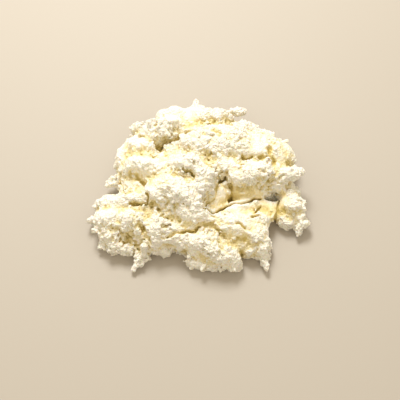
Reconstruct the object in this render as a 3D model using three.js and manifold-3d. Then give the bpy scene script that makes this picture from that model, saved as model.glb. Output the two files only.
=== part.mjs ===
// Heap of fresh curd cheese: one soft, crumbly mass, folded together from spooned lumps and set down on a
// flat surface. Millimetres, +Z up. The origin is the middle of the footprint box, on the face that the
// heap rests on; +X runs along the heap's length and -Y is its front, where the long cleft opens.
import * as THREE from "three";
import { mergeVertices } from "three/addons/utils/BufferGeometryUtils.js";
import Module from "manifold-3d";

// Driving dimensions: the box that the finished heap fills. The lumps below are stretched to fill it.
const LENGTH = 172;
const DEPTH = 142;
const HEIGHT = 46;

// The cuts keep these sizes when the heap is stretched.
const CLEFT_WIDTH = 2.4; // the long crack between the two halves of the heap
const CLEFT_DEPTH = 16;
const EYE_LENGTH = 10; // the gap right through, beside the small lump on the right
const EYE_WIDTH = 4;
const CRACK_WIDTH = 4; // the shorter crack under the ridge at the back left
const CRACK_DEPTH = 13;

// How far a lump's surface stands in or out of a true ellipsoid, as a share of its radius, and how closely
// the waves that push it follow each other.
const ROUGHNESS = 0.07;
const WAVES = 3.1;

// A lump's faces are divided once, and once more for each such step in its smallest half size.
const SUBDIVIDE_AT = 9;
const MOST_DIVISIONS = 3;

const EYE_SIDES = 16;
const ABOVE = 60; // how far the cuts reach up beyond the heap
const BELOW = 60; // how far down the eye and the block under the resting face reach
const BLOCK = 400; // that block's width

// Every lump is an ellipsoid: middle [x, y, z], half sizes [x, y, z] and its turn about Z in degrees.
const LUMPS = {
  // Broad lumps that the heap is built up on.
  base_back: [[4, 29, 4], [54, 37, 24], -4],
  base_left: [[-36, 6, 3], [31, 27, 20], 0],
  base_middle: [[-12, -20, 4], [42, 30, 24], -15],
  base_front: [[7, -41, 3], [44, 19, 15], -6],
  base_front_left: [[-57, -32, 3], [23, 19, 14], -10],
  base_right: [[47, -12, 2], [36, 16, 8], 0],

  // High mass at the back right, with its torn crust edge over the cleft.
  back_mass: [[18, 31, 19], [30, 20, 22], -6],
  back_mass_left: [[-1, 33, 19], [17, 15, 22], -25],
  back_right_mass: [[51, 26, 15], [24, 18, 20], -22],
  right_shoulder: [[67, 27, 11], [12, 15, 16], 20],
  crust_edge: [[40, 4, 27], [20, 9, 9], 6],
  crust_middle: [[20, 11, 26], [15, 9, 10], -8],
  crust_step: [[50, 26, 24], [12, 8, 10], 35],
  crust_tip: [[65, 6, 23], [16, 7.5, 8], 0],
  crust_point: [[74, 9, 22], [7, 5, 5], 10],
  crust_under: [[56, 1, 18], [15, 8, 10], 0],
  back_edge: [[9, 61, 14], [21, 9.5, 15], 0],
  back_edge_left: [[-3, 69, 13], [10, 7, 12], 0],
  back_nub: [[30, 69, 14], [8, 3.4, 4], 6],
  back_nub_neck: [[22, 68, 12], [7, 4.5, 6], 0],
  back_right_edge: [[39, 50, 13], [13, 9, 13], -25],
  far_right_edge: [[54, 45, 10], [11, 8, 12], -28],
  right_edge: [[61, 35, 9], [13, 12, 12], -32],
  right_edge_low: [[70, 23, 8], [9, 9, 12], 0],

  // Block and ridge at the back left.
  back_block: [[-22, 64, 16], [12, 8.5, 13], 8],
  back_block_left: [[-31, 64, 14], [7, 6.5, 12], 0],
  back_horn: [[-4, 73, 19], [2.4, 4.5, 4], -20],
  back_left_knob: [[-51, 57, 14], [7.5, 4.5, 6], 0],
  back_left_knob_low: [[-50, 52, 8], [8, 7, 9], 0],
  back_left_ridge: [[-30, 52, 20], [18, 7, 12], 14],
  back_left_lip: [[-37, 45, 22], [10, 6, 7], -10],

  // Left slope.
  left_slope: [[-46, 33, 12], [19, 15, 19], 10],
  left_edge: [[-61, 26, 8], [9, 14, 15], 0],
  left_shelf: [[-40, 12, 17], [24, 10, 17], -16],
  left_shelf_low: [[-52, 12, 10], [15, 9, 15], -10],
  left_spur: [[-71, 7, 9], [7, 2.4, 3], 22],
  left_corner: [[-62, 11, 8], [8, 5, 8], 15],

  // Middle ridge, the highest part.
  ridge_back: [[-8, 9, 23], [18, 11, 21], -15],
  ridge_right: [[3, -4, 22], [12, 14, 20], -25],
  ridge_middle: [[-18, -11, 22], [22, 13, 21], -28],
  ridge_left: [[-33, -15, 18], [14, 10, 17], -35],
  ridge_front: [[-6, -25, 17], [18, 12, 19], -25],

  // Lobe at the front left.
  front_left_top: [[-55, -16, 11], [19, 9.5, 16], 8],
  front_left_back: [[-73, -14, 9], [11, 8, 13], 14],
  front_left_lobe: [[-69, -29, 10], [16, 11, 16], 0],
  front_left_side: [[-72, -40, 8], [8, 10, 13], 14],
  front_left_middle: [[-53, -31, 13], [16, 12, 15], -15],
  left_tip: [[-83, -26, 8], [5.5, 4, 5], 25],
  front_left_rim: [[-64, -50, 6], [11, 5, 8], -14],
  front_left_foot: [[-55, -51, 6], [7, 5, 8], 0],
  front_left_join: [[-35, -40, 10], [11, 14, 17], 0],
  front_spur: [[-46, -58, 5], [4.5, 8.5, 5], -32],
  front_spur_root: [[-41, -51, 7], [7, 7, 10], -20],

  // Lobe at the front.
  front_lobe_left: [[-21, -43, 12], [17, 9, 13], -12],
  front_heel: [[-27, -52, 6], [10, 5, 7], 0],
  front_lobe: [[-1, -49, 12], [20, 11, 14], -12],
  front_lobe_right: [[17, -57, 9], [17, 9, 13], -8],
  front_foot: [[4, -62, 5], [17, 6, 7], -3],
  front_tip: [[27, -63, 7], [8, 6, 8], 10],

  // Lobe at the front right.
  front_right_lobe: [[25, -35, 13], [19, 12, 15], -5],
  front_right_back: [[43, -29, 12], [14, 7, 10], 8],
  front_right_side: [[42, -41, 10], [12, 11, 12], 10],
  front_right_edge: [[49, -48, 7], [7, 10, 11], 0],
  front_right_tip: [[51, -58, 5], [4, 7, 6], 8],
  front_right_foot: [[41, -53, 6], [11, 6, 9], 5],

  // Smooth torn curds down inside the cleft.
  cleft_wall: [[14, -9, 16], [8, 13, 12], -35],
  cleft_back: [[37, -4, 12], [19, 8, 10], -3],
  cleft_tongue: [[32, -18, 14], [19, 6.5, 8], 13],
  cleft_plate: [[54, -18, 9], [10, 10, 8], 25],
  neck: [[59, -21, 7], [8, 7, 7], 0],

  // Small lump on the right, joined by the neck and under the crust.
  right_lump_back: [[73, -4, 9], [9, 8, 11], 0],
  right_lump: [[74, -14, 9], [10, 11, 12], 10],
  right_lump_foot: [[69, -27, 6], [8, 6, 8], 0],
  right_lump_side: [[78, -22, 7], [8, 9, 9], 20],
  right_lump_tip: [[81, -29, 6], [5.5, 4.5, 6], -35],
};

// Each cut's line in plan among the lumps, as [x, y], and the height at which its sides start to close in.
const CLEFT = [[4, -23], [12, -22], [19, -19], [28, -16], [42, -12], [50, -11]];
const CLEFT_TOP = 24;
const CRACK = [[-36, 36], [-31, 34], [-24, 36], [-15, 42]];
const CRACK_TOP = 30;

// The eye's middle among the lumps, as [x, y], and its turn about Z in degrees.
const EYE = [58, -8];
const EYE_TURN = -20;

const wasm = await Module();
wasm.setup();

function solidFrom(geometry) {
  const bare = geometry.clone();
  bare.deleteAttribute("normal");
  bare.deleteAttribute("uv");
  const merged = mergeVertices(bare, 1e-4);
  return new wasm.Manifold(
    new wasm.Mesh({
      numProp: 3,
      vertProperties: new Float32Array(merged.attributes.position.array),
      triVerts: new Uint32Array(merged.index.array),
    }),
  );
}

function geometryFrom(solid) {
  const mesh = solid.getMesh();
  const geometry = new THREE.BufferGeometry();
  geometry.setAttribute("position", new THREE.BufferAttribute(mesh.vertProperties, 3));
  geometry.setIndex(new THREE.BufferAttribute(mesh.triVerts, 1));
  geometry.computeVertexNormals();
  return geometry;
}

// A sum of three slanted waves, from -1 to 1, that differs from lump to lump by its seed.
function wave(point, seed) {
  const a = Math.sin(WAVES * (point.x + 0.7 * point.z) + seed);
  const b = Math.sin(WAVES * 1.3 * (point.y - 0.5 * point.x) + 2.1 * seed);
  const c = Math.sin(WAVES * 1.7 * (point.z + 0.4 * point.y) + 3.7 * seed);
  return (a + b + c) / 3;
}

// One lump: a ball roughened by the waves, stretched to its half sizes, turned and put in place.
function lump([middle, half, turn], seed) {
  const divisions = Math.min(MOST_DIVISIONS, 1 + Math.floor(Math.min(...half) / SUBDIVIDE_AT));
  const geometry = new THREE.IcosahedronGeometry(1, divisions);
  const position = geometry.attributes.position;
  const point = new THREE.Vector3();
  for (let i = 0; i < position.count; i++) {
    point.fromBufferAttribute(position, i);
    point.multiplyScalar(1 + ROUGHNESS * wave(point, seed));
    position.setXYZ(i, point.x, point.y, point.z);
  }
  geometry.scale(...half);
  geometry.rotateZ(THREE.MathUtils.degToRad(turn));
  geometry.translate(...middle);
  return solidFrom(geometry);
}

// The block below the resting face, which cuts the lumps off flat.
function ground() {
  const geometry = new THREE.BoxGeometry(BLOCK, BLOCK, BELOW);
  geometry.translate(0, 0, -BELOW / 2);
  return solidFrom(geometry);
}

// The placement that brings a box to the driving dimensions, centred over the origin, its foot at z = 0.
function fitting(box) {
  const size = box.getSize(new THREE.Vector3());
  const middle = box.getCenter(new THREE.Vector3());
  const stretch = new THREE.Vector3(LENGTH, DEPTH, HEIGHT).divide(size);
  const centred = new THREE.Matrix4().makeTranslation(-middle.x, -middle.y, -box.min.z);
  return new THREE.Matrix4().makeScale(stretch.x, stretch.y, stretch.z).multiply(centred);
}

// Thin upright wedges along a line of points that cut a crack: straight sides above its top, closing below.
function crack(line, top, width, depth, fit) {
  const points = line.map(([x, y]) => new THREE.Vector3(x, y, top).applyMatrix4(fit));
  return points.slice(1).map((end, i) => {
    const start = points[i];
    const run = end.clone().sub(start);
    const outline = new THREE.Shape();
    outline.moveTo(-width / 2, 0);
    outline.lineTo(0, -depth);
    outline.lineTo(width / 2, 0);
    outline.lineTo(width / 2, ABOVE);
    outline.lineTo(-width / 2, ABOVE);
    outline.closePath();
    const wedge = { depth: run.length() + width / 2, bevelEnabled: false };
    const geometry = new THREE.ExtrudeGeometry(outline, wedge);
    geometry.rotateX(Math.PI / 2);
    geometry.rotateZ(Math.atan2(run.y, run.x) + Math.PI / 2);
    geometry.translate(start.x, start.y, start.z);
    return solidFrom(geometry);
  });
}

// The eye: an upright slot of oval section, right through the heap.
function eye(fit) {
  const middle = new THREE.Vector3(...EYE, 0).applyMatrix4(fit);
  const geometry = new THREE.CylinderGeometry(1, 1, ABOVE + BELOW, EYE_SIDES);
  geometry.rotateX(Math.PI / 2);
  geometry.scale(EYE_LENGTH / 2, EYE_WIDTH / 2, 1);
  geometry.rotateZ(THREE.MathUtils.degToRad(EYE_TURN));
  geometry.translate(middle.x, middle.y, 0);
  return solidFrom(geometry);
}

// The lumps are joined, cut off flat and stretched to the driving dimensions, then cracked and pierced.
function cheeseGeometry() {
  const lumps = Object.values(LUMPS).map(lump);
  const joined = lumps.reduce((heap, next) => heap.add(next)).subtract(ground());
  const stretched = geometryFrom(joined);
  stretched.computeBoundingBox();
  const fit = fitting(stretched.boundingBox);
  stretched.applyMatrix4(fit);
  const cuts = [
    ...crack(CLEFT, CLEFT_TOP, CLEFT_WIDTH, CLEFT_DEPTH, fit),
    ...crack(CRACK, CRACK_TOP, CRACK_WIDTH, CRACK_DEPTH, fit),
    eye(fit),
  ];
  return geometryFrom(cuts.reduce((heap, cut) => heap.subtract(cut), solidFrom(stretched)));
}

const curd = new THREE.MeshStandardMaterial({ color: 0xf6f0dc, roughness: 0.62, metalness: 0 });

const cheese = new THREE.Mesh(cheeseGeometry(), curd);
cheese.name = "cheese_heap";

const heap = new THREE.Group();
heap.add(cheese);

export default heap;
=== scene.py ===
"""Heap of fresh curd cheese: the torn, crumbly mass that stands for the CAD solid, and its stage.

The cheese is worked out as a distance field: a block of voxels, each of which says how far it lies
outside the cheese, below zero inside. The CAD solid fills the field. Creases, noise, broken chunks,
crumbs and thin tears are added to it as whole arrays, and its zero surface is the mesh.
"""

import math
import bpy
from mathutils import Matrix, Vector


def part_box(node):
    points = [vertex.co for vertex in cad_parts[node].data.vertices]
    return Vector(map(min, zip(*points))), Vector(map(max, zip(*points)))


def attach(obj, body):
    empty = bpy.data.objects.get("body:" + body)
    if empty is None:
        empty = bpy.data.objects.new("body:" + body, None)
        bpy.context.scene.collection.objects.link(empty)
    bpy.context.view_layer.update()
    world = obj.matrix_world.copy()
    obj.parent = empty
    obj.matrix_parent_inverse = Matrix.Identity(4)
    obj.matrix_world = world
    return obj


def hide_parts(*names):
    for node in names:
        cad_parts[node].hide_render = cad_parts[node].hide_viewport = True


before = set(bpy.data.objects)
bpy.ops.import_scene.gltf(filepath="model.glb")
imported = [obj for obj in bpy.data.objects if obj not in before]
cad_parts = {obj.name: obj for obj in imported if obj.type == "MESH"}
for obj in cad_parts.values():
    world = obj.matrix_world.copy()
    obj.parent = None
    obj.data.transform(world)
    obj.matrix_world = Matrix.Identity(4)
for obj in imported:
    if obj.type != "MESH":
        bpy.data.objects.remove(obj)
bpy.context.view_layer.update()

from concurrent.futures import ThreadPoolExecutor

import bmesh
import bpy
import numpy as np
import openvdb
from bpy.props import FloatProperty, FloatVectorProperty, IntProperty, PointerProperty
from bpy.types import Operator, Panel, PropertyGroup
from mathutils import Euler, Vector

bl_info = {
    "name": "Fresh Curd Cheese Heap",
    "version": (1, 0, 0),
    "blender": (4, 5, 0),
    "location": "3D View > Sidebar > Cheese",
    "description": "Builds a crumbly heap of fresh curd cheese around its CAD solid, and a stage for it",
    "category": "Object",
}

CHEESE = "cheese_heap"
MM = 0.001

# The block of voxels round the heap, in millimetres.
MARGIN = 5.0  # how far it reaches past the CAD box on each side
SKIRT_BELOW = 3.0  # how far it reaches under the resting face
BAND = 9.0  # no distance in it is greater
COARSE = 1.2  # voxel of the level set that the CAD solid is first turned into
ROOT = 14.0  # how far the solid is carried on below its resting face, so that nothing rounds off there

# The work on many voxels is cut into parts of this size and shared out.
CHUNK = 32768
THREADS = 4

SEED_SPREAD = 0.9  # share of its cell that a seed may lie in, about the middle
FAR = 9.0  # squared distance, in cells, that no seed is further than
SAME_POINT = 1e-6  # metres within which points of the CAD solid are one
ON_FLOOR = 1e-5  # metres above the resting face that still count as on it


# ---- the block of voxels -------------------------------------------------------------------------

class Block:
    """A box of space cut into voxels, in millimetres, and how far each lies outside the cheese."""

    def __init__(self, low, high, step):
        """An empty block from the low to the high corner, with all of it as far outside as can be."""
        self.low = np.asarray(low, np.float64)
        self.step = step
        self.shape = tuple(int(n) for n in np.ceil((np.asarray(high) - self.low) / step) + 1)
        self.axes = [
            (self.low[i] + step * np.arange(self.shape[i])).astype(np.float32) for i in range(3)
        ]
        self.away = np.full(self.shape, BAND, np.float32)

    def near(self, reach):
        """The flat indices and the places of the voxels that lie within reach of the surface."""
        flat = np.flatnonzero(np.abs(self.away.ravel()) < reach)
        i, j, k = np.unravel_index(flat, self.shape)
        return flat, np.stack([self.axes[0][i], self.axes[1][j], self.axes[2][k]], 1)

    def window(self, middle, reach):
        """The part of the block within reach of a point, and its offsets from it along each axis."""
        first = np.maximum(0, np.floor((middle - reach - self.low) / self.step).astype(int))
        last = np.minimum(self.shape, np.ceil((middle + reach - self.low) / self.step).astype(int) + 1)
        part = tuple(slice(a, b) for a, b in zip(first, last))
        offsets = [self.axes[i][part[i]] - np.float32(middle[i]) for i in range(3)]
        return part, offsets

    def sampled(self, values, points):
        """The values at any points, by linear mixing of the eight voxels round each."""
        place = (points - self.low) / self.step
        place = np.clip(place, 0, np.array(self.shape) - 1.001)
        corner = place.astype(int)
        share = (place - corner).astype(np.float32)
        total = np.zeros(len(points), np.float32)
        for a in (0, 1):
            for b in (0, 1):
                for c in (0, 1):
                    weight = np.ones(len(points), np.float32)
                    for axis, bit in enumerate((a, b, c)):
                        weight *= share[:, axis] if bit else 1 - share[:, axis]
                    total += weight * values[corner[:, 0] + a, corner[:, 1] + b, corner[:, 2] + c]
        return total


def along(axis, row):
    """A row of numbers shaped to lie along one of three axes."""
    return row.astype(np.float32).reshape([-1 if i == axis else 1 for i in range(3)])


def blurred(values, spread):
    """The values averaged along each axis in turn with a bell curve of that spread, in voxels."""
    reach = int(np.ceil(2.5 * spread))
    bell = np.exp(-0.5 * (np.arange(-reach, reach + 1) / spread) ** 2)
    bell /= bell.sum()
    for axis in range(3):
        count = values.shape[axis]
        wide = np.pad(values, [(reach, reach) if i == axis else (0, 0) for i in range(3)], mode="edge")
        part = [slice(None)] * 3
        values = np.zeros_like(values)
        for step, weight in enumerate(bell.astype(np.float32)):
            part[axis] = slice(step, step + count)
            values += weight * wide[tuple(part)]
    return values


def splined(values, places):
    """The values carried to places along each axis by a uniform cubic B-spline: four shifted rows,
    each times its weight."""
    for axis, at in enumerate(places):
        cell = np.floor(at).astype(int)
        t = at - cell
        weights = ((1 - t) ** 3, 3 * t**3 - 6 * t**2 + 4, -3 * t**3 + 3 * t**2 + 3 * t + 1, t**3)
        values = sum(along(axis, w / 6) * values.take(cell + k, axis) for k, w in enumerate(weights))
    return values


def noise(block, spacing, seed, axes=3):
    """Smooth noise with a spread of 1: random numbers a spacing apart, carried to the voxels by
    B-splines."""
    rng = np.random.default_rng(seed)
    places = [np.arange(n) * block.step / spacing + rng.random() for n in block.shape[:axes]]
    places += [np.zeros(1)] * (3 - axes)
    lattice = rng.standard_normal([int(at[-1]) + 4 for at in places]).astype(np.float32)
    values = splined(lattice, places)
    return values / values.std()


def cells(block, points, size, seed):
    """For each point, the distances to the nearest and second nearest of a scatter of seeds, in cell
    sizes, and which seed is nearest. There is one seed at random in each cell of a cubic grid of that
    size, which takes in the block, stretched by LEDGE, and a margin round it."""
    rng = np.random.default_rng(seed)
    low = LEDGE * block.low - CELL_MARGIN
    high = LEDGE * np.array([axis[-1] for axis in block.axes]) + CELL_MARGIN
    place = ((points - low) / size).astype(np.float32)
    counts = np.ceil((high - low) / size).astype(int) + 3
    seeds = (0.5 + SEED_SPREAD * (rng.random((np.prod(counts), 3)) - 0.5)).astype(np.float32)
    strides = np.array([counts[1] * counts[2], counts[2], 1], np.int32)
    steps = np.array([(a, b, c) for a in (-1, 0, 1) for b in (-1, 0, 1) for c in (-1, 0, 1)])

    def searched(part):
        """The same for some of the points, from the seeds in the 27 cells round each."""
        cell = part.astype(np.int32)
        share = part - cell
        base = (cell + 1) @ strides
        first = np.full(len(part), FAR, np.float32)
        second = first.copy()
        which = base.copy()
        for step in steps:
            index = base + int(step @ strides)
            gap = seeds[index]
            gap += step.astype(np.float32)
            gap -= share
            gap *= gap
            far = gap[:, 0] + gap[:, 1] + gap[:, 2]
            closer = far < first
            second = np.minimum(second, np.where(closer, first, far))
            which = np.where(closer, index, which)
            first = np.minimum(first, far)
        return np.sqrt(first), np.sqrt(second), which

    parts = np.array_split(place, max(1, len(place) // CHUNK))
    with ThreadPoolExecutor(THREADS) as pool:
        found = list(pool.map(searched, parts))
    return [np.concatenate(values) for values in zip(*found)]


def smooth_min(a, b, width):
    """The lesser of two fields, with a fillet where they are within a width of each other."""
    near = np.maximum(width - np.abs(a - b), 0) / width
    return np.minimum(a, b) - near * near * width / 4


def eased(value, low, high):
    """0 below low, 1 above high, and a smooth step between."""
    t = np.clip((value - low) / (high - low), 0, 1)
    return t * t * (3 - 2 * t)


# ---- where the features of the heap are, in millimetres ------------------------------------------

# Creases pressed into the heap from above: the line of each as [x, y], its half width and its depth.
CREASES = {
    "under_back_ridge": (
        [(-47, 35), (-40, 30), (-34, 28), (-30, 27), (-24, 33), (-16, 36), (-9, 35)], 5.0, 3.0,
    ),
    "under_back_ridge_deep": ([(-34, 29), (-30, 27), (-27, 30)], 2.6, 5.0),
    "ridge_hollow": ([(-20, 34), (-15, 37)], 2.6, 4.0),
    "notch_left": ([(-48, -3), (-42, -7)], 1.8, 3.0),
    "notch_low": ([(-40, -18), (-41, -21), (-45, -23), (-53, -22)], 2.2, 4.0),
    "valley_left": ([(-37, -22), (-31, -29), (-27, -33), (-15, -36)], 3.5, 2.5),
    "dip_ridge": ([(-26, -11), (-17, -14)], 5.0, 2.5),
    "nick_a": ([(-14, 3), (-9, -1)], 2.2, 3.0),
    "nick_b": ([(-7, -1), (-3, -3)], 2.2, 3.0),
    "fold_left": ([(-53, 5), (-49, -1)], 2.0, 2.0),
    "slot_back": ([(34, 15), (41, 15)], 2.4, 3.5),
    "facet": ([(55, 20), (51, 15), (47, 12)], 2.5, 2.5),
    "facet_crease": ([(52, 13), (58, 9)], 2.5, 2.5),
    "slot_front": ([(28, -41), (35, -43)], 2.2, 2.5),
    "pit_back": ([(13, 32), (18, 29)], 4.0, 3.5),
    "pit_front_left": ([(-46, -42), (-44, -44)], 3.2, 2.6),
    "valley_front_left": ([(-43, -42), (-40, -49), (-37, -58)], 3.8, 2.0),
    "crease_front": ([(-23, -48), (-14, -48), (-4, -45), (1, -41)], 2.8, 3.0),
    "recess_front": ([(-20, -56), (-9, -61)], 5.0, 2.0),
    "recess_right": ([(33, -61), (41, -62)], 4.0, 2.5),
    "right_mass_foot": ([(70, 14), (77, 13)], 3.5, 1.2),
}

# Thin torn lines in and round the long cleft, cut after the crumbs are on.
CLEFTS = {
    "split": ([(20, 0), (19, -5)], 1.5, 1.8),
    "wall_edge": ([(19, -5), (16, -14), (12, -20), (5, -27)], 1.6, 1.2),
    "fold": ([(24, -6), (27, -14), (25, -21)], 1.4, 0.8),
    "cleft": ([(4, -29), (12, -30), (19, -26), (27, -23), (38, -20), (48, -16)], 1.5, 3.6),
    "cleft_mouth": ([(7, -30), (13, -30)], 2.0, 4.0),
    "tongue_edge": ([(48, -22), (44, -27), (41, -32)], 1.9, 1.3),
    "tongue_foot": ([(40, -33), (46, -31)], 1.8, 3.5),
    "tongue_fold": ([(8, -34), (15, -36), (23, -41)], 1.3, 1.3),
    "plate_edge": ([(66, -14), (64, -24), (60, -31)], 1.5, 1.4),
    "eye": ([(55, -13.5), (62, -11.5)], 3.0, 16.0),
}

# Where the curd is crumblier or flatter: middle [x, y], reach and strength. EVERYDAY_CRUMBLE is the
# strength elsewhere.
TEXTURE = {
    "back_block": ((-19, 57), 14, 0.2),
    "left_slope": ((-50, 22), 14, 0.55),
    "right_mass": ((65, 24), 12, 0.42),
    "back_crown": ((29, 24), 12, 0.75),
    "shelf": ((-36, 2), 11, 0.5),
    "ridge": ((-12, -16), 10, 0.7),
    "front_left_top": ((-62, -24), 10, 0.6),
    "front_right_top": ((32, -38), 9, 0.55),
    "right_lump_side": ((67, -18), 6, 0.4),
    "hollow_face": ((9, 3), 10, 1.25),
    "crust_face": ((60, -6), 12, 1.2),
    "front_left_face": ((-57, -46), 14, 1.3),
    "front_face": ((0, -64), 18, 1.2),
    "right_lump_end": ((76, -33), 8, 1.2),
    "under_back_ridge": ((-30, 36), 11, 1.25),
    "valley": ((-28, -32), 10, 1.2),
}

# Places whose colour is pushed up the scale toward gold, and down toward white: middle [x, y], reach
# and strength. Painted shade on faces under overhangs and turned away from the lamp (crust_face,
# band, back_wall, plate, front_left_face, front_right); painted light, whiter, on lit tops
# (back_block, ridge, front_left_top); the other entries are tone that differs from place to place.
TONE_AND_PAINTED_SHADE = {
    "back_block": ((-18, 57), 15, -0.5),
    "right_mass": ((62, 26), 14, 0.35),
    "left_slope": ((-50, 22), 14, 0.25),
    "front_left_top": ((-62, -24), 11, -0.15),
    "crust_face": ((54, -5), 12, 0.45),
    "band": ((10, 4), 10, 0.15),
    "front_left_face": ((-54, -47), 15, 0.35),
    "front_right": ((38, -48), 12, 0.2),
    "tongue": ((33, -26), 9, -0.4),
    "plate": ((57, -23), 8, 0.7),
    "right_lump": ((72, -24), 10, 0.25),
    "back_wall": ((36, -11), 8, 0.2),
    "ridge": ((-14, -20), 12, -0.15),
}

# Smooth broken faces inside the cleft: middle [x, y, z] and half sizes.
SMOOTH = {
    "cleft_wall": ((16, -16, 18), (8, 14, 10)),
    "cleft_back": ((37, -13, 12), (21, 8, 11)),
    "tongue": ((33, -24, 17), (19, 8, 9)),
    "plate": ((55, -22, 11), (10, 10, 9)),
    "right_lump_inside": ((66, -14, 11), (5, 9, 10)),
}

# Single curds that stand out of the heap: middle [x, y, z], half sizes, turn about Z and tilt, in
# degrees.
FLAKES = {
    "cleft_wall": ((16, -12, 14), (7.5, 14, 8), -20, 0),
    "back_block_side": ((-9, 55, 16), (9, 10, 10), 0, 0),
    "horn": ((-2, 68.5, 22), (2.6, 3.6, 2.6), -15, 10),
    "nub": ((33, 64, 16), (7.5, 3.4, 4.0), 0, 0),
    "back_spike": ((71, 36, 16), (3.2, 1.4, 1.5), 30, 20),
    "left_spur": ((-68, 1, 9.5), (7.5, 2.4, 2.8), 20, 10),
    "lower_left_spur": ((-48, -65, 4), (1.9, 6.6, 2.8), -30, 0),
    "front_tip": ((52, -66, 5), (2.0, 5.0, 3.5), 12, 0),
    "lump_tip": ((82, -34, 9), (6.0, 3.0, 4.0), 25, 15),
    "lump_tip_low": ((79, -38, 6), (2.4, 4.0, 3.0), -20, 0),
    "beak": ((79, 5, 23), (5.0, 4.0, 3.6), 20, 0),
    "knob_tip": ((-52, 49, 15), (4.6, 3.4, 4.4), 20, 0),
    "left_point": ((-85, -31, 10), (3.0, 2.2, 2.6), 30, 0),
}


# ---- how strongly the curd is broken up, in millimetres ------------------------------------------

SOFTNESS = 1.7  # spread of the bell curve that softens the CAD solid
GROWTH = 0.15  # how far the softened solid is grown again
VALLEY_REACH = 4.0  # spread of the bell curve that the valleys are filled up to
VALLEY_LEFT = 0.5  # how much deeper than that they may stay
EDGE_SOFTNESS = 0.25  # spread of the last bell curve, over the crumbs
FILL_EDGE = (0.9, 1.4)  # where that filling fades in round a smooth face, in its half sizes
SMOOTH_EDGE = (0.85, 1.2)  # where a smooth face fades out, in its half sizes

# Noises that sway the creases, the chunks and the flakes: spacing, strength and seed.
CREASE_SWAY = ((7, 1.2, 60), (3, 0.6, 70))
CHUNK_SWAY = ((6, 1.3, 20), (2.5, 0.8, 25))
FLAKE_SWAY = ((2.2, 0.8, 20),)

EVERYDAY_CRUMBLE = 0.9  # how crumbly the curd is away from the places in TEXTURE
EVERYDAY_WEIGHT = 0.15  # how much that counts beside them
UNEVEN = (9, 0.2, 5)  # spacing, strength and seed of the noise that makes the crumble uneven
UNEVEN_LIMITS = (0.65, 1.4)
SMOOTHING = 0.65  # share of the crumble that a smooth face takes away
SWELLING = 0.8  # how far the broad swellings stand out
SWELLING_SPACING = 8
SWELLING_SEED = 1
SWELLING_MEAN = 0.8  # mean size of their noise, taken off so that the heap keeps its bulk
LEDGE = 1.4  # how much flatter than wide the broken chunks are
CELL_MARGIN = 12.0  # how far the chunks' cells reach past the stretched block

# Broken chunks and the flakes on them: size, step, dome, crack and seed.
BROKEN_CHUNKS = ((9.0, 0.65, 0.45, 0.6, 31), (4.6, 0.7, 0.55, 0.6, 32))
BROKEN_FLAKES = ((2.9, 0.5, 0.55, 0.35, 33), (1.9, 0.4, 0.5, 0.0, 34))
CHUNK_DEPTH = 5.0  # how far from the surface the chunks are worked out
FLAKE_DEPTH = 2.4  # the same for the flakes
LIFT_SEED = 100  # added to their seed for the lifts
CRACK_REACH = 0.3  # how far a crack reaches, in cells
CRACKED_LIFT = 0.2  # lift above which a cell has cracks round it

SHELL = 0.5  # how far from the surface a strewn point may be and still be moved onto it
MOST_WEIGHT = 2.0  # the crumble that the most crumbs are strewn at
LOWEST_CRUMB = 0.5  # height above the resting face of the lowest one

# Smallest and largest radius, least and greatest flatness, and seed of the two kinds of crumbs.
LUMP_SIZES = (1.8, 3.6)
LUMP_FLATNESS = (0.3, 0.6)
LUMP_SEED = 11
CRUMB_SIZES = (0.7, 1.8)
CRUMB_FLATNESS = (0.35, 0.7)
CRUMB_SEED = 12
CRUMB_PROUD = 0.15  # how far a small one may be lifted, in its radius
CRUMB_GATHERING = 1.5  # power of the crumble that the small ones are strewn by
CRUMB_FILLET = 0.35  # fillet round a crumb, in its radius
FLAKE_FILLET = 1.2  # fillet round a single curd

# How far round a point its hollow and its fold are measured; the deeper they are, the more shade is
# painted there in cream and gold.
HOLLOW_REACH = 2.0
FOLD_REACH = 5.0

# The scale from white to gold, which holds painted shade in hollows and folds besides the curd's own
# tone: the weight of each mark on the mesh and of each noise, and where one colour turns into the next.
HOLLOW_SHADE_WEIGHT = 1.3
FOLD_SHADE_WEIGHT = 1.15
SMEAR_WEIGHT = 0.35
PATCH_WEIGHT = 0.9
SPECK_WEIGHT = 0.8
GRAIN_WEIGHT = 0.1
CREAM_RANGE = (0.6, 1.55)
GOLD_RANGE = (1.25, 2.2)

# Waves to the metre, detail and roughness of the material's noises, and the beads of its grain.
PATCHES = (32.0, 2.0)
SPECKS = (180.0, 2.0)
GRAIN = (420.0, 4.0, 0.65)
BEADS = 800.0
BEAD_HEIGHT = -0.7  # height of the beads' distances against the grain's


# ---- the cheese ----------------------------------------------------------------------------------

def cad_solid(node):
    """The CAD solid's points and triangles in millimetres, its flat underside carried on down."""
    solid = bmesh.new()
    solid.from_mesh(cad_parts[node].data)
    bmesh.ops.remove_doubles(solid, verts=solid.verts, dist=SAME_POINT)
    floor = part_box(node)[0].z + ON_FLOOR
    under = [face for face in solid.faces if all(v.co.z < floor for v in face.verts)]
    root = bmesh.ops.extrude_face_region(solid, geom=under)
    down = [v for v in root["geom"] if isinstance(v, bmesh.types.BMVert)]
    bmesh.ops.translate(solid, verts=down, vec=(0, 0, -ROOT * MM))
    bmesh.ops.delete(solid, geom=under, context="FACES")
    bmesh.ops.triangulate(solid, faces=solid.faces)
    solid.verts.index_update()
    points = np.array([v.co for v in solid.verts], np.float32) / MM
    triangles = np.array([[v.index for v in f.verts] for f in solid.faces], np.uint32)
    solid.free()
    return points, triangles


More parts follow.
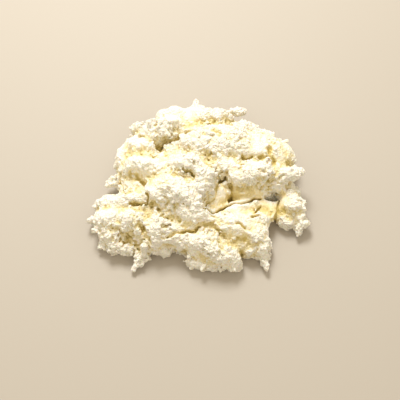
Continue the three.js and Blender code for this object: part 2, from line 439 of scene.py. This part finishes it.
def filled_from(points, triangles, block):
    """The block's distances to a closed surface, from a coarse level set carried to it by B-splines.
    They are rounded, because the level set's last digits aren't the same on every run."""
    low = block.low - 2 * COARSE
    surface = openvdb.FloatGrid.createLevelSetFromPolygons(
        ((points - low) / COARSE).astype(np.float32), triangles=triangles, halfWidth=BAND / COARSE
    )
    places = [(block.axes[i] - low[i]) / COARSE - 1 for i in range(3)]
    values = np.zeros([int(at[-1]) + 4 for at in places], np.float32)
    surface.copyToArray(values)
    return splined(np.round(values * COARSE, 3), places)


def scattered(block, density, weight, rng):
    """Points strewn through the whole block, and which of them are kept: those within SHELL of the
    surface, as often as their weight says, with density to the square millimetre where it is 1. The
    kept ones come moved onto the surface, each with the outward direction there, which is the
    gradient from differences a voxel each way."""
    size = np.array(block.shape) * block.step
    count = int(MOST_WEIGHT * density * size.prod() / (2 * SHELL))
    places = block.low + rng.random((count, 3)) * size
    chance = rng.random(count) * MOST_WEIGHT
    away = block.sampled(block.away, places)
    kept = (np.abs(away) < SHELL) & (chance < block.sampled(weight, places))
    kept &= places[:, 2] > LOWEST_CRUMB
    places = places[kept]
    rises = [
        block.sampled(block.away, places + step) - block.sampled(block.away, places - step)
        for step in block.step * np.eye(3)
    ]
    slopes = np.stack(rises, 1)
    slopes /= np.linalg.norm(slopes, axis=1, keepdims=True) + 1e-9
    return count, kept, places - slopes * away[kept, None], slopes


def turned(quaternions):
    """The turn matrix of each quaternion."""
    w, x, y, z = (quaternions / np.linalg.norm(quaternions, axis=1, keepdims=True)).T
    rows = [
        [1 - 2 * (y * y + z * z), 2 * (x * y - w * z), 2 * (x * z + w * y)],
        [2 * (x * y + w * z), 1 - 2 * (x * x + z * z), 2 * (y * z - w * x)],
        [2 * (x * z - w * y), 2 * (y * z + w * x), 1 - 2 * (x * x + y * y)],
    ]
    return np.array(rows, np.float32).transpose(2, 0, 1)


def add_curd(block, middle, half, turn, width):
    """Blends an ellipsoid into the field: its distance is about k (k - 1) / g, where k is the length
    of the offset over the half sizes, and g the length of the offset over their squares."""
    part, (x, y, z) = block.window(middle, half.max() + width)
    offset = np.stack(np.broadcast_arrays(x[:, None, None], y[:, None], z), -1) @ turn
    offset /= half
    far = np.sqrt(np.einsum("...i,...i", offset, offset)) + 1e-6
    offset /= half
    grade = np.sqrt(np.einsum("...i,...i", offset, offset)) + 1e-6
    block.away[part] = smooth_min(block.away[part], far * (far - 1) / grade, width)


def crumbs(block, density, sizes, weight, seed, proud, flat):
    """Crumbs on the surface: ellipsoids of random size, flatness and turn, each lifted by up to proud
    of its radius and blended in with a fillet."""
    rng = np.random.default_rng(seed)
    count, kept, places, slopes = scattered(block, density, weight, rng)
    small, large = sizes
    radii = small * (large / small) ** (rng.random(count)[kept] ** 2)
    shapes = rng.uniform((0.9, 0.7, flat[0]), (1.4, 1.0, flat[1]), (count, 3))[kept]
    lifts = radii * rng.uniform(proud - 0.5, proud, count)[kept]
    turns = turned(rng.standard_normal((count, 4))[kept])
    halves = (radii[:, None] * shapes).astype(np.float32)
    middles = (places + slopes * lifts[:, None]).astype(np.float32)
    for middle, radius, half, turn in zip(middles, radii, halves, turns):
        add_curd(block, middle, half, turn, np.float32(CRUMB_FILLET * radius))


def plan_distance(block, line, sway):
    """How far each column of the block stands from a line of points in plan, on a plan that sways."""
    x = block.axes[0][:, None] + sway[0]
    y = block.axes[1][None, :] + sway[1]
    nearest = np.full(x.shape, 1e6, np.float32)
    for (x0, y0), (x1, y1) in zip(line, line[1:]):
        run = (x1 - x0) ** 2 + (y1 - y0) ** 2
        t = np.clip(((x - x0) * (x1 - x0) + (y - y0) * (y1 - y0)) / run, 0, 1)
        nearest = np.minimum(nearest, np.hypot(x - x0 - t * (x1 - x0), y - y0 - t * (y1 - y0)))
    return nearest


def creased(block, lines):
    """How much each column sinks where the curd is creased: depth (1 - (distance / width)^2)^2."""
    sway = [
        sum(noise(block, gap, seed + i, 2)[..., 0] * strength for gap, strength, seed in CREASE_SWAY)
        for i in range(2)
    ]
    sunk = np.zeros(block.shape[:2], np.float32)
    for line, width, depth in lines.values():
        share = np.clip(plan_distance(block, line, sway) / width, 0, 1)
        sunk = np.maximum(sunk, depth * (1 - share**2) ** 2)
    return sunk


def smeared(places):
    """How smooth the curd is at each place: 1 well inside a smooth patch, 0 away from them all."""
    share = np.zeros(len(places), np.float32)
    for middle, half in SMOOTH.values():
        offset = (places - np.float32(middle)) / np.float32(half)
        share = np.maximum(share, 1 - eased(np.sqrt((offset**2).sum(1)), *SMOOTH_EDGE))
    return share


def cleft_share(block):
    """1 in the columns over the smooth faces of the cleft, 0 away from them, smoothly between."""
    share = np.zeros(block.shape[:2], np.float32)
    for (x, y, _), (half_x, half_y, _) in SMOOTH.values():
        far = np.hypot((block.axes[0][:, None] - x) / half_x, (block.axes[1][None, :] - y) / half_y)
        share = np.maximum(share, 1 - eased(far, *FILL_EDGE))
    return share


def curd_block(settings):
    """The block round the heap, filled with the CAD solid's distances, softened by a bell curve and
    grown back a little. Away from the cleft the valleys between its lumps are filled: no voxel lies
    further out than the mean round it plus what is left of a valley."""
    low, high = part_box(CHEESE)
    low = np.array(low) / MM - MARGIN
    high = np.array(high) / MM + MARGIN
    low[2] = -SKIRT_BELOW
    block = Block(low, high, round(settings.voxel / MM, 3))
    block.away = filled_from(*cad_solid(CHEESE), block)
    block.away = blurred(block.away, SOFTNESS / block.step) - GROWTH
    fill = blurred(block.away, VALLEY_REACH / block.step) + VALLEY_LEFT
    open_share = 1 - cleft_share(block)[:, :, None]
    block.away -= open_share * np.maximum(block.away - fill, 0)
    return block


def changed(block, flat, amount):
    """Takes an amount off the field at some voxels, so that the surface moves out by that much."""
    values = block.away.ravel()
    values[flat] -= amount
    block.away = values.reshape(block.shape)


def crumbliness(block):
    """How crumbly the curd is at each voxel: the mean of TEXTURE's strengths in its column, each with
    a weight exp(-(distance / reach)^2), and of an everyday one, times 1 plus a noise."""
    x = block.axes[0][:, None]
    y = block.axes[1][None, :]
    weight = np.full(block.shape[:2], EVERYDAY_WEIGHT, np.float32)
    total = weight * EVERYDAY_CRUMBLE
    for (x0, y0), reach, strength in TEXTURE.values():
        near = np.exp(-((x - x0) ** 2 + (y - y0) ** 2) / reach**2)
        weight += near
        total += near * strength
    level = total / weight
    spacing, share, seed = UNEVEN
    return level[:, :, None] * np.clip(1 + share * noise(block, spacing, seed), *UNEVEN_LIMITS)


def swayed(block, flat, places, waves):
    """The places moved along each axis by the sum of the waves, each a noise times its strength."""
    shifts = []
    for axis in range(3):
        rows = [noise(block, spacing, seed + axis) * strength for spacing, strength, seed in waves]
        shifts.append(sum(rows).ravel()[flat])
    return places + np.stack(shifts, 1)


def chunks(block, places, size, step, bump, crack, seed):
    """Relief of broken curd: each cell stands out by step times a random lift and bump times its dome
    0.5 - r, where r is the distance to its seed, less crack along the edges of proud cells."""
    first, second, which = cells(block, places, size, seed)
    rng = np.random.default_rng(seed + LIFT_SEED)
    lift = rng.uniform(-1, 1, which.max() + 1).astype(np.float32)[which]
    gap = 1 - eased(second - first, 0, CRACK_REACH)
    return step * lift + bump * (0.5 - first) - crack * gap * (lift > CRACKED_LIFT)


def tone_and_painted_shade(places):
    """How far each place's colour is pushed along the scale: up toward gold as painted shade and tone,
    down toward white as painted light on lit tops. It is the sum of the table's strengths, each times
    exp(-(distance / reach)^2)."""
    total = np.zeros(len(places), np.float32)
    for (x, y), reach, strength in TONE_AND_PAINTED_SHADE.values():
        total += strength * np.exp(-((places[:, 0] - x) ** 2 + (places[:, 1] - y) ** 2) / reach**2)
    return total


def flaked(block):
    """The single curds, each an ellipsoid turned about Z and then tilted, blended in."""
    for middle, half, turn, tilt in FLAKES.values():
        matrix = np.array(Euler((math.radians(tilt), 0, math.radians(turn))).to_matrix(), np.float32)
        add_curd(block, np.array(middle, np.float32), np.array(half, np.float32), matrix, FLAKE_FILLET)


def torn(block, settings):
    """Tears the field's surface into curd, from the largest shapes to the smallest: creases, swelling
    and broken chunks, lumps and single curds, flakes, crumbs, and the thin lines in the cleft. Returns
    how crumbly each voxel was made."""
    block.away += creased(block, CREASES)[:, :, None]
    strength = crumbliness(block) * settings.crumble
    flat, places = block.near(CHUNK_DEPTH)
    values = strength.ravel()
    values[flat] *= 1 - SMOOTHING * smeared(places)
    strength = values.reshape(block.shape)

    rough = strength.ravel()[flat]
    swell = np.abs(noise(block, SWELLING_SPACING, SWELLING_SEED)).ravel()[flat] - SWELLING_MEAN
    changed(block, flat, rough * SWELLING * swell)
    places = swayed(block, flat, places, CHUNK_SWAY) * np.float32((1, 1, LEDGE))
    for size, step, bump, crack, seed in BROKEN_CHUNKS:
        changed(block, flat, rough * chunks(block, places, size, step, bump, crack, seed))
    crumbs(block, settings.lumps, LUMP_SIZES, strength, LUMP_SEED, 0.0, LUMP_FLATNESS)
    flaked(block)

    flat, places = block.near(FLAKE_DEPTH)
    rough = strength.ravel()[flat]
    places = swayed(block, flat, places * np.float32((1, 1, LEDGE)), FLAKE_SWAY)
    for size, step, bump, crack, seed in BROKEN_FLAKES:
        changed(block, flat, rough * chunks(block, places, size, step, bump, crack, seed))
    gathered = strength**CRUMB_GATHERING
    crumbs(block, settings.crumbs, CRUMB_SIZES, gathered, CRUMB_SEED, CRUMB_PROUD, CRUMB_FLATNESS)
    block.away += creased(block, CLEFTS)[:, :, None]
    block.away = blurred(block.away, EDGE_SOFTNESS / block.step)
    return strength


def largest_piece(count, quads):
    """Which points belong to the largest connected piece, by passing the lowest label along edges."""
    label = np.arange(count)
    ends = np.concatenate([quads[:, [i, (i + 1) % 4]] for i in range(4)])
    while True:
        lowest = label.copy()
        np.minimum.at(lowest, ends[:, 0], label[ends[:, 1]])
        np.minimum.at(lowest, ends[:, 1], label[ends[:, 0]])
        lowest = lowest[lowest]
        if np.array_equal(lowest, label):
            break
        label = lowest
    names, sizes = np.unique(label, return_counts=True)
    return label == names[sizes.argmax()]


def surfaced(block, name, limit):
    """The mesh of the field's zero surface, thinned to the limit of triangles. The quads come with
    their faces outward, because the field is below zero inside."""
    grid = openvdb.FloatGrid()
    grid.background = BAND
    grid.copyFromArray(np.ascontiguousarray(block.away))
    points, quads = grid.convertToQuads(isovalue=0.0)
    quads = quads.astype(np.int64)
    kept = largest_piece(len(points), quads)
    quads = quads[kept[quads[:, 0]]]
    order = np.cumsum(kept) - 1
    points = (points[kept] * block.step + block.low) * MM
    quads = order[quads]
    mesh = bpy.data.meshes.new(name)
    mesh.vertices.add(len(points))
    mesh.vertices.foreach_set("co", points.astype(np.float32).ravel())
    mesh.loops.add(quads.size)
    mesh.loops.foreach_set("vertex_index", quads.astype(np.int32).ravel())
    mesh.polygons.add(len(quads))
    mesh.polygons.foreach_set("loop_start", np.arange(0, quads.size, 4, dtype=np.int32))
    mesh.update(calc_edges=True)
    piece = bpy.data.objects.new(name, mesh)
    bpy.context.scene.collection.objects.link(piece)
    thin = piece.modifiers.new("thin", "DECIMATE")
    thin.ratio = min(1, limit / (2 * len(quads)))
    bpy.context.view_layer.objects.active = piece
    with bpy.context.temp_override(object=piece, active_object=piece):
        bpy.ops.object.modifier_apply(modifier="thin")
    piece.data.polygons.foreach_set("use_smooth", [True] * len(piece.data.polygons))
    return piece


def marked(block, piece, strength):
    """Writes at each point how deep it lies in a hollow and in a fold, as minus the mean distance
    round it over the reach, which the material paints as shade; how smooth the curd is there; and how
    far its colour is pushed by painted shade, painted light and tone at listed places."""
    mesh = piece.data
    places = np.empty(3 * len(mesh.vertices), np.float32)
    mesh.vertices.foreach_get("co", places)
    places = places.reshape(-1, 3) / MM
    away = block.away
    values = {
        "hollow": -block.sampled(blurred(away, HOLLOW_REACH / block.step), places) / HOLLOW_REACH,
        "folds": -block.sampled(blurred(away, FOLD_REACH / block.step), places) / FOLD_REACH,
        "smear": np.maximum(smeared(places), 1 - block.sampled(strength, places)),
        "tone_and_shade": tone_and_painted_shade(places),
    }
    for name, value in values.items():
        mesh.attributes.new(name, "FLOAT", "POINT").data.foreach_set("value", value.astype(np.float32))


# ---- materials -----------------------------------------------------------------------------------

class Nodes:
    """Adds a material's nodes one by one and joins them up."""

    def __init__(self, material):
        """Keeps the material's node tree and its Principled shader."""
        material.use_nodes = True
        self.tree = material.node_tree
        self.shader = self.tree.nodes["Principled BSDF"]

    def add(self, kind, inputs=None, **settings):
        """A node of that kind with its settings, its inputs set to values or joined to outputs."""
        node = self.tree.nodes.new(kind)
        for name, value in settings.items():
            setattr(node, name, value)
        for name, value in (inputs or {}).items():
            self.join(node, name, value)
        return node

    def join(self, node, name, value):
        """Sets one input of a node to a value, or joins an output to it."""
        if isinstance(value, bpy.types.NodeSocket):
            self.tree.links.new(value, node.inputs[name])
        else:
            node.inputs[name].default_value = value

    def mark(self, name):
        """A value that the mesh carries at its points."""
        return self.add("ShaderNodeAttribute", attribute_name=name).outputs["Fac"]

    def noise(self, place, scale, detail, roughness=0.5):
        """Noise from 0 to 1, with scale as its waves to the metre."""
        inputs = {"Vector": place, "Scale": scale, "Detail": detail, "Roughness": roughness}
        return self.add("ShaderNodeTexNoise", inputs).outputs[0]

    def number(self, operation, *values):
        """The result of a Math node."""
        return self.add("ShaderNodeMath", dict(enumerate(values)), operation=operation).outputs[0]

    def ranged(self, value, low, high, to_low=0.0, to_high=1.0):
        """A value carried from one range to another and clamped, with a smooth step."""
        inputs = {"Value": value, "From Min": low, "From Max": high, "To Min": to_low, "To Max": to_high}
        node = self.add("ShaderNodeMapRange", inputs, interpolation_type="SMOOTHSTEP")
        return node.outputs["Result"]

    def mixed(self, share, a, b):
        """Two colours mixed by a share."""
        node = self.add("ShaderNodeMix", data_type="RGBA")
        self.join(node, 0, share)
        self.join(node, 6, a)
        self.join(node, 7, b)
        return node.outputs[2]


def curd_material(settings):
    """Fresh curd: white where it stands proud, with shade painted into its hollows and folds, cream and
    then gold deep down. The colour runs along one scale, a weighted sum of the marks on the mesh and
    three sizes of noise. The hollow and fold marks are painted shade, the places' mark is painted shade
    and light besides tone, the smear mark makes smooth faces yellower, and the noises are tone that
    differs at random."""
    material = bpy.data.materials.new("fresh_curd")
    nodes = Nodes(material)
    place = nodes.add("ShaderNodeTexCoord").outputs["Object"]
    patches = nodes.noise(place, *PATCHES)
    specks = nodes.noise(place, *SPECKS)
    grain = nodes.noise(place, *GRAIN)
    beads = nodes.add("ShaderNodeTexVoronoi", {"Vector": place, "Scale": BEADS}, feature="SMOOTH_F1")
    smear = nodes.mark("smear")

    shade_and_tone = nodes.mark("tone_and_shade")
    # hollow and folds are painted shade in the creases, cream and then gold
    for part, weight in (
        (nodes.mark("hollow"), HOLLOW_SHADE_WEIGHT),
        (nodes.mark("folds"), FOLD_SHADE_WEIGHT),
        (smear, SMEAR_WEIGHT),
        (patches, PATCH_WEIGHT),
        (specks, SPECK_WEIGHT),
        (grain, GRAIN_WEIGHT),
    ):
        shade_and_tone = nodes.number("MULTIPLY_ADD", part, weight, shade_and_tone)
    creamy = nodes.ranged(shade_and_tone, *CREAM_RANGE)
    cream = nodes.mixed(creamy, (*settings.white, 1), (*settings.cream, 1))
    colour = nodes.mixed(nodes.ranged(shade_and_tone, *GOLD_RANGE), cream, (*settings.gold, 1))

    height = nodes.number("MULTIPLY_ADD", beads.outputs["Distance"], BEAD_HEIGHT, grain)
    strength = nodes.ranged(smear, 0.0, 1.0, 0.9, 0.5)
    relief = {"Strength": strength, "Distance": settings.grain, "Height": height}
    bump = nodes.add("ShaderNodeBump", relief)
    nodes.join(nodes.shader, "Base Color", colour)
    nodes.join(nodes.shader, "Roughness", nodes.ranged(grain, 0.3, 0.7, 0.5, 0.72))
    nodes.join(nodes.shader, "Normal", bump.outputs[0])
    nodes.join(nodes.shader, "Subsurface Weight", 0.15)
    nodes.join(nodes.shader, "Subsurface Radius", (1.0, 0.75, 0.4))
    nodes.join(nodes.shader, "Subsurface Scale", 0.0015)
    return material


def plain_material(name, colour):
    """One even colour, quite rough."""
    material = bpy.data.materials.new(name)
    nodes = Nodes(material)
    nodes.join(nodes.shader, "Base Color", (*colour, 1))
    nodes.join(nodes.shader, "Roughness", 0.7)
    return material


# ---- settings, operators and panel ---------------------------------------------------------------

def colour_setting(name, description, default):
    """A colour that a user may change."""
    return FloatVectorProperty(
        name=name, description=description, default=default, min=0, max=1, size=3, subtype="COLOR"
    )


class HeapSettings(PropertyGroup):
    """Sizes and colours of the cheese"""

    voxel: FloatProperty(
        name="Voxel", description="Edge of the voxels that the heap is worked out in",
        default=0.0006, min=0.0003, max=0.003, precision=5, unit="LENGTH",
    )
    triangles: IntProperty(
        name="Triangles", description="Most triangles that the mesh is thinned to",
        default=195000, min=10000, max=199000,
    )
    crumble: FloatProperty(
        name="Crumble", description="How strongly the whole surface is broken up",
        default=1.0, min=0, max=2, subtype="FACTOR",
    )
    lumps: FloatProperty(
        name="Lumps", description="How many larger crumbs lie on a square millimetre",
        default=0.009, min=0, max=0.1, precision=4,
    )
    crumbs: FloatProperty(
        name="Crumbs", description="How many small crumbs lie on a square millimetre",
        default=0.16, min=0, max=1, precision=3,
    )
    grain: FloatProperty(
        name="Grain", description="Height of the fine grain of the curd",
        default=0.0025, min=0, max=0.01, precision=4, unit="LENGTH",
    )
    white: colour_setting("White", "Curd where it stands proud", (0.94, 0.885, 0.75))
    # Cream and gold are reached mostly through painted shade in hollows and folds, and partly through
    # the curd's own tone.
    cream: colour_setting("Cream", "Curd in its hollows", (0.90, 0.77, 0.44))
    gold: colour_setting("Gold", "Curd in its deepest folds", (0.62, 0.48, 0.15))


class StageSettings(PropertyGroup):
    """The floor, the light and the camera"""

    floor_size: FloatProperty(
        name="Floor", description="Side of the square floor", default=3.0, min=0.5, unit="LENGTH",
    )
    floor_colour: colour_setting("Floor Colour", "Colour of the floor", (0.45, 0.40, 0.33))
    fill_colour: colour_setting("Fill Colour", "Colour of the light from all round", (1.0, 0.91, 0.76))
    fill: FloatProperty(
        name="Fill", description="Strength of the light from all round", default=0.88, min=0,
    )
    key_colour: colour_setting("Key Colour", "Colour of the main lamp", (0.97, 0.985, 1.0))
    key_power: FloatProperty(
        name="Key Power", description="Power of the main lamp", default=12.3, min=0, unit="POWER",
    )
    key_size: FloatProperty(
        name="Key Size", description="Side of the main lamp", default=0.35, min=0.01, unit="LENGTH",
    )
    key_place: FloatVectorProperty(
        name="Key Place", description="Where the main lamp hangs, behind the heap",
        default=(-0.15, 0.64, 0.88), size=3, subtype="TRANSLATION",
    )
    aim: FloatVectorProperty(
        name="Aim", description="What the camera looks at, from the middle of the heap's foot",
        default=(0.0013, -0.0156, 0.015), size=3, subtype="TRANSLATION",
    )
    tilt: FloatProperty(
        name="Camera Height", description="How far above level the camera looks down from",
        default=math.radians(67), min=0, max=math.radians(89), unit="ROTATION",
    )
    distance: FloatProperty(
        name="Distance", description="From the camera to what it looks at",
        default=0.525, min=0.1, unit="LENGTH",
    )
    lens: FloatProperty(
        name="Lens", description="Focal length of the camera", default=60.0, min=10, unit="CAMERA",
    )


def aimed(thing, target):
    """Turns a camera or a lamp so that its -Z axis points at the target."""
    thing.rotation_mode = "QUATERNION"
    thing.rotation_quaternion = (target - thing.location).to_track_quat("-Z", "Y")


class CURD_OT_heap(Operator):
    """Build the heap of fresh curd cheese around its CAD solid"""

    bl_idname = "curd.heap"
    bl_label = "Cheese Heap"

    def execute(self, context):
        """Fills, tears and surfaces the block, keeps it above the floor and paints the mesh."""
        settings = context.scene.curd_heap
        block = curd_block(settings)
        strength = torn(block, settings)
        block.away = np.maximum(block.away, -block.axes[2])
        piece = surfaced(block, "curd_heap", settings.triangles)
        marked(block, piece, strength)
        piece.data.materials.append(curd_material(settings))
        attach(piece, "root")
        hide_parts(CHEESE)
        return {"FINISHED"}


class CURD_OT_stage(Operator):
    """Lay the floor, hang the lamp, set the light all round and place the camera"""

    bl_idname = "curd.stage"
    bl_label = "Stage"

    def execute(self, context):
        """Makes the floor, the lamp, the world and the camera from the settings."""
        settings = context.scene.curd_stage
        scene = context.scene
        bpy.ops.mesh.primitive_plane_add(size=settings.floor_size)
        floor = context.object
        floor.name = "floor"
        floor.data.materials.append(plain_material("floor", settings.floor_colour))

        lamp = bpy.data.lights.new("key", "AREA")
        lamp.size = settings.key_size
        lamp.energy = settings.key_power
        lamp.color = settings.key_colour
        key = bpy.data.objects.new("key", lamp)
        key.location = settings.key_place
        aimed(key, Vector())
        scene.collection.objects.link(key)

        world = bpy.data.worlds.new("fill")
        world.use_nodes = True
        background = world.node_tree.nodes["Background"]
        background.inputs["Color"].default_value = (*settings.fill_colour, 1)
        background.inputs["Strength"].default_value = settings.fill
        scene.world = world
        scene.view_settings.view_transform = "Standard"

        camera = bpy.data.objects.new("camera", bpy.data.cameras.new("camera"))
        camera.data.lens = settings.lens
        aim = Vector(settings.aim)
        back = Vector((0, -math.cos(settings.tilt), math.sin(settings.tilt)))
        camera.location = aim + back * settings.distance
        aimed(camera, aim)
        scene.collection.objects.link(camera)
        scene.camera = camera
        return {"FINISHED"}


class CURD_PT_cheese(Panel):
    """Lists the heap and the stage with their settings"""

    bl_idname = "CURD_PT_cheese"
    bl_label = "Fresh Curd Cheese"
    bl_space_type = "VIEW_3D"
    bl_region_type = "UI"
    bl_category = "Cheese"

    def draw(self, context):
        """One box for each operator, with its settings under it."""
        for operator, settings in (
            (CURD_OT_heap, context.scene.curd_heap),
            (CURD_OT_stage, context.scene.curd_stage),
        ):
            box = self.layout.box()
            box.operator(operator.bl_idname)
            for name in settings.__annotations__:
                box.prop(settings, name)


CLASSES = (HeapSettings, StageSettings, CURD_OT_heap, CURD_OT_stage, CURD_PT_cheese)


def register():
    """Adds the classes and gives each scene its settings."""
    for each in CLASSES:
        bpy.utils.register_class(each)
    bpy.types.Scene.curd_heap = PointerProperty(type=HeapSettings)
    bpy.types.Scene.curd_stage = PointerProperty(type=StageSettings)


def unregister():
    """Takes away what register added."""
    del bpy.types.Scene.curd_stage
    del bpy.types.Scene.curd_heap
    for each in reversed(CLASSES):
        bpy.utils.unregister_class(each)


def main():
    """Builds the heap and the stage."""
    register()
    bpy.ops.curd.heap()
    bpy.ops.curd.stage()


if __name__ == "__main__":
    main()
